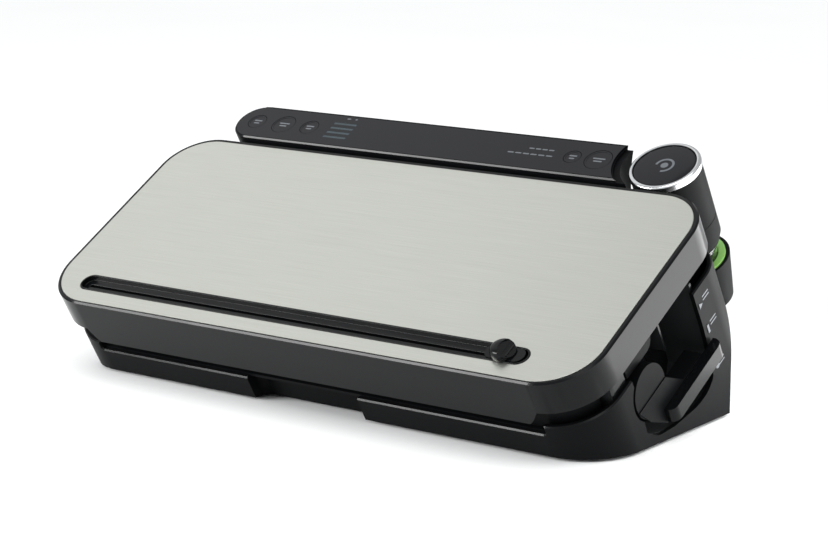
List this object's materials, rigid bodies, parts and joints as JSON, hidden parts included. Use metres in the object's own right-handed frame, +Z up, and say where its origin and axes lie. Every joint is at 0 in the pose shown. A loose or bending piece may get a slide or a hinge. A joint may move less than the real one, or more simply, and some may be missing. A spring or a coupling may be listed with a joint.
{
  "type": "vacuum sealer",
  "caption": "Countertop vacuum sealer: sloped hinged lid with a sliding bag cutter, side latch, control panel, drip tray, roll bay and docked hand-held sealer.",
  "frame": {"origin": "centre of the bounding box in plan, on the surface that the feet stand on", "axes": "+X to the right of a person facing the front, +Y towards the rear, +Z up"},
  "size_m": [0.4454, 0.254, 0.171],
  "materials": {
    "black_abs": "moulded ABS, fine satin grain",
    "dark_abs": "moulded ABS, matt",
    "gloss_black": "polished black acrylic",
    "brushed_lid_steel": "stainless sheet brushed along the lid",
    "plated_steel": "zinc plated",
    "rubber_black": "matt rubber",
    "gasket_foam": "closed-cell foam",
    "silicone_red": "matt silicone",
    "heater_laminate": "phenolic laminate",
    "ptfe_tape": "glass cloth tape, satin",
    "lens_teal": "tinted acrylic",
    "board_green": "solder mask",
    "winding": "laminations and varnished winding",
    "pump_body": "glass-filled nylon",
    "motor_can": "plated can",
    "hose_silicone": "translucent silicone",
    "mark_grey": "pad-printed grey",
    "contact_brass": "plated",
    "silver_ring": "satin chrome",
    "battery_wrap": "shrink sleeve",
    "clear_plastic": "clear moulded copolyester",
    "green_seal": "satin silicone",
    "tray_grey": "moulded polypropylene"
  },
  "bodies": {
    "base": {"base_shell": "black_abs", "bottom_cover": "dark_abs", "feet": "rubber_black", "cover_screws": "plated_steel", "sealing_deck": "black_abs", "heater_bar": "heater_laminate", "heating_strip": "plated_steel", "seal_tape": "ptfe_tape", "lower_gasket": "gasket_foam", "hinge_brackets": "dark_abs", "hinge_pins": "plated_steel", "rear_housing": "black_abs", "panel_overlay": "gloss_black", "indicator_lenses": "lens_teal", "control_board": "board_green", "tact_switches": "dark_abs", "power_board": "board_green", "transformer": "winding", "vacuum_pump": "pump_body", "pump_motor": "motor_can", "pump_hose": "hose_silicone", "lid_switch": "dark_abs", "mains_inlet": "dark_abs", "inlet_pins": "plated_steel", "latch_well": "black_abs", "latch_spindle": "plated_steel", "position_marks": "mark_grey", "dock_cup": "black_abs", "charge_contacts": "contact_brass"},
    "lid": {"lid_shell": "black_abs", "steel_plate": "brushed_lid_steel", "lid_liner": "dark_abs", "upper_gasket": "gasket_foam", "pressure_strip": "silicone_red", "cutter_rail": "dark_abs", "lid_keeper": "black_abs", "keeper_pin": "plated_steel", "liner_screws": "plated_steel"},
    "cutter": {"cutter_knob": "black_abs", "cutter_blade": "plated_steel"},
    "latch": {"latch_lever": "black_abs", "latch_hook": "plated_steel"},
    "tray": {"drip_tray": "tray_grey"},
    "handheld": {"handheld_body": "black_abs", "handheld_ring": "silver_ring", "handheld_base": "dark_abs", "handheld_motor": "motor_can", "handheld_pump": "pump_body", "handheld_battery": "battery_wrap", "suction_tube": "hose_silicone", "reservoir": "clear_plastic", "reservoir_seal": "green_seal", "suction_tip": "rubber_black"},
    "hand_press": {"handheld_button": "gloss_black"},
    "key_power": {"button_power": "gloss_black"},
    "key_mode": {"button_mode": "gloss_black"},
    "key_food": {"button_food": "gloss_black"},
    "key_hold": {"button_hold": "gloss_black"},
    "key_seal": {"button_seal": "gloss_black"}
  },
  "joints": [
    {"name": "lid_hinge", "type": "hinge", "parent": "base", "child": "lid", "pos_m": [-0.00275, 0.02862, 0.13836], "axis": [-1, 0, 0], "range_deg": [0, 75]},
    {"name": "cutter_slide", "type": "slide", "parent": "lid", "child": "cutter", "axis": [-1, 0, 0], "range_m": [0, 0.323]},
    {"name": "latch_turn", "type": "hinge", "parent": "base", "child": "latch", "pos_m": [0.19725, -0.0421, 0.03784], "axis": [1, 0, 0], "range_deg": [-16, 27]},
    {"name": "tray_lift", "type": "slide", "parent": "base", "child": "tray", "axis": [0, -0.5, 0.866], "range_m": [0, 0.008]},
    {"name": "handheld_lift", "type": "slide", "parent": "base", "child": "handheld", "axis": [0, -0.5, 0.866], "range_m": [0, 0.12]},
    {"name": "hand_press_travel", "type": "slide", "parent": "handheld", "child": "hand_press", "axis": [0, 0.5, -0.866], "range_m": [0, 0.001], "stiffness_N_per_m": 900, "springref_m": -0.001},
    {"name": "key_power_travel", "type": "slide", "parent": "base", "child": "key_power", "axis": [0, 0.5, -0.866], "range_m": [0, 0.0008], "stiffness_N_per_m": 900, "springref_m": -0.0006},
    {"name": "key_mode_travel", "type": "slide", "parent": "base", "child": "key_mode", "axis": [0, 0.5, -0.866], "range_m": [0, 0.0008], "stiffness_N_per_m": 900, "springref_m": -0.0006},
    {"name": "key_food_travel", "type": "slide", "parent": "base", "child": "key_food", "axis": [0, 0.5, -0.866], "range_m": [0, 0.0008], "stiffness_N_per_m": 900, "springref_m": -0.0006},
    {"name": "key_hold_travel", "type": "slide", "parent": "base", "child": "key_hold", "axis": [0, 0.5, -0.866], "range_m": [0, 0.0008], "stiffness_N_per_m": 900, "springref_m": -0.0006},
    {"name": "key_seal_travel", "type": "slide", "parent": "base", "child": "key_seal", "axis": [0, 0.5, -0.866], "range_m": [0, 0.0008], "stiffness_N_per_m": 900, "springref_m": -0.0006}
  ]
}
